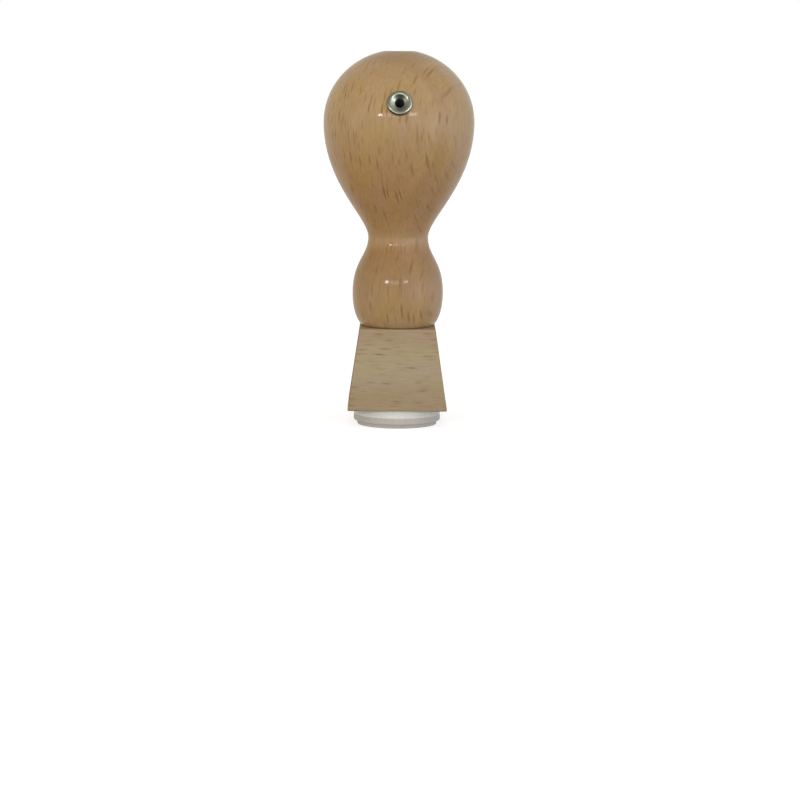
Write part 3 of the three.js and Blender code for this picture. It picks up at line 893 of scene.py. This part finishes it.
def makeSurround(look):
    # white to the eye, through glass and in reflections of what lies behind; the rest is a plain
    # room with a row of windows at the front, which lights the stamp
    world = bpy.data.worlds.new("white_surround")
    bpy.context.scene.world = world
    world.use_nodes = True
    tree = world.node_tree
    tree.nodes.clear()
    path = addNode(tree, "LightPath")
    way = addNode(tree, "SeparateXYZ", {0: addNode(tree, "TexCoord").outputs["Generated"]})
    height = addNode(tree, "MapRange", {0: way.outputs["Z"], 1: -1.0, 2: 1.0})
    brightness = {}
    for side in ("front", "behind"):
        ramp = addNode(tree, "ValToRGB", {0: height.outputs[0]})
        elements = ramp.color_ramp.elements
        while len(elements) < len(look[side]):
            elements.new(0.5)
        for element, (level, tone) in zip(elements, look[side]):
            element.position = (level + 1) / 2
            element.color = (tone, tone, tone, 1)
        brightness[side] = addNode(tree, "Math", {0: ramp.outputs[0], 1: look["brightest"]},
                                   operation="MULTIPLY").outputs[0]
    ahead = addNode(tree, "MapRange", {0: way.outputs["Y"], 1: look["frontStarts"],
                                       2: look["frontFull"]}, interpolation_type="SMOOTHSTEP")
    room = addNode(tree, "Mix", {0: ahead.outputs[0], 2: brightness["behind"], 3: brightness["front"]})

    # daylight from the right is cooler and a little stronger, lamplight from the left warmer
    fromLeft = addNode(tree, "MapRange", {0: way.outputs["X"], 1: -1.0, 2: 1.0})
    tint = addNode(tree, "Mix", {0: fromLeft.outputs[0], 6: fromHex(look["leftTint"]),
                                 7: fromHex(look["rightTint"])}, data_type="RGBA")
    matteShare = addNode(tree, "MapRange", {0: way.outputs["X"], 1: -1.0, 2: 1.0,
                                            3: look["leftLight"], 4: look["rightLight"]})
    matteLight = addNode(tree, "Math", {0: room.outputs[0], 1: matteShare.outputs[0]},
                         operation="MULTIPLY")
    shineShare = addNode(tree, "MapRange", {0: way.outputs["X"], 1: look["shineStarts"],
                                            2: look["shineFull"], 3: look["leftShine"],
                                            4: look["rightShine"]}, interpolation_type="SMOOTHSTEP")
    shine = addNode(tree, "Math", {0: room.outputs[0], 1: shineShare.outputs[0]}, operation="MULTIPLY")
    rear = addNode(tree, "MapRange", {0: way.outputs["Y"], 1: look["rearStarts"],
                                      2: look["rearFull"]}, interpolation_type="SMOOTHSTEP")
    mirrored = addNode(tree, "Mix", {0: rear.outputs[0], 2: shine.outputs[0], 3: 1.0})
    light = addNode(tree, "Mix", {0: path.outputs["Is Glossy Ray"], 2: matteLight.outputs[0],
                                  3: mirrored.outputs[0]})
    seen = addNode(tree, "Math", {0: path.outputs["Is Camera Ray"],
                                  1: path.outputs["Is Transmission Ray"]}, operation="MAXIMUM")
    strength = addNode(tree, "Mix", {0: seen.outputs[0], 2: light.outputs[0], 3: 1.0})
    colour = addNode(tree, "Mix", {0: seen.outputs[0], 6: tint.outputs[2], 7: (1, 1, 1, 1)},
                     data_type="RGBA")
    sky = addNode(tree, "Background", {"Color": colour.outputs[2], "Strength": strength.outputs[0]})
    addNode(tree, "OutputWorld", {0: sky.outputs[0]})


studioLamps = [
    # degrees and metres as seen from the ball
    dict(name="left_lamp", azimuth=-29, elevation=13.4, distance=1.2, size=(0.14, 0.08), radiance=34),
    dict(name="right_lamp", azimuth=21, elevation=14.6, distance=1.2, size=(0.25, 0.085), radiance=11),
    dict(name="window_strip", azimuth=-10, elevation=13.5, distance=1.25, size=(0.55, 0.15), radiance=3.5),
]


def makeLamps(lamps):
    target = Vector((0, 0, crownLevel - handleTurning["crownRise"] * mm))
    for lamp in lamps:
        light = bpy.data.lights.new(lamp["name"], "AREA")
        light.shape = "RECTANGLE"
        light.size, light.size_y = lamp["size"]
        light.energy = lamp["radiance"] * math.pi * lamp["size"][0] * lamp["size"][1]
        azimuth, elevation = math.radians(lamp["azimuth"]), math.radians(lamp["elevation"])
        away = Vector((math.sin(azimuth) * math.cos(elevation),
                       -math.cos(azimuth) * math.cos(elevation), math.sin(elevation)))
        holder = bpy.data.objects.new(lamp["name"], light)
        holder.location = target + away * lamp["distance"]
        holder.rotation_euler = away.to_track_quat("Z", "Y").to_euler()
        bpy.context.scene.collection.objects.link(holder)


studioCamera = dict(
    distance=494.0,              # mm from the handle's axis, level with its crown
    azimuth=-0.4, pitch=8.84, aside=0.08, roll=0.45,
    lens=100.98, sensor=36,
    nearest=0.01, farthest=20,   # metres
)


def makeCamera(view):
    camera = bpy.data.cameras.new("studio_camera")
    camera.lens = view["lens"]
    camera.sensor_width = view["sensor"]
    camera.clip_start = view["nearest"]
    camera.clip_end = view["farthest"]
    holder = bpy.data.objects.new("studio_camera", camera)
    stand = Matrix.Translation((0, -view["distance"] * mm, crownLevel))
    turns = [Matrix.Rotation(math.radians(angle), 4, axis) for angle, axis in (
        (view["azimuth"], "Z"), (-view["aside"], "Z"), (90 - view["pitch"], "X"), (view["roll"], "Z"))]
    holder.matrix_world = turns[0] @ stand @ turns[1] @ turns[2] @ turns[3]
    bpy.context.scene.collection.objects.link(holder)
    bpy.context.scene.camera = holder


makeFloor(studio)
makeSurround(studio)
makeLamps(studioLamps)
makeCamera(studioCamera)
bpy.context.scene.view_settings.view_transform = "Standard"
print("studio ready")
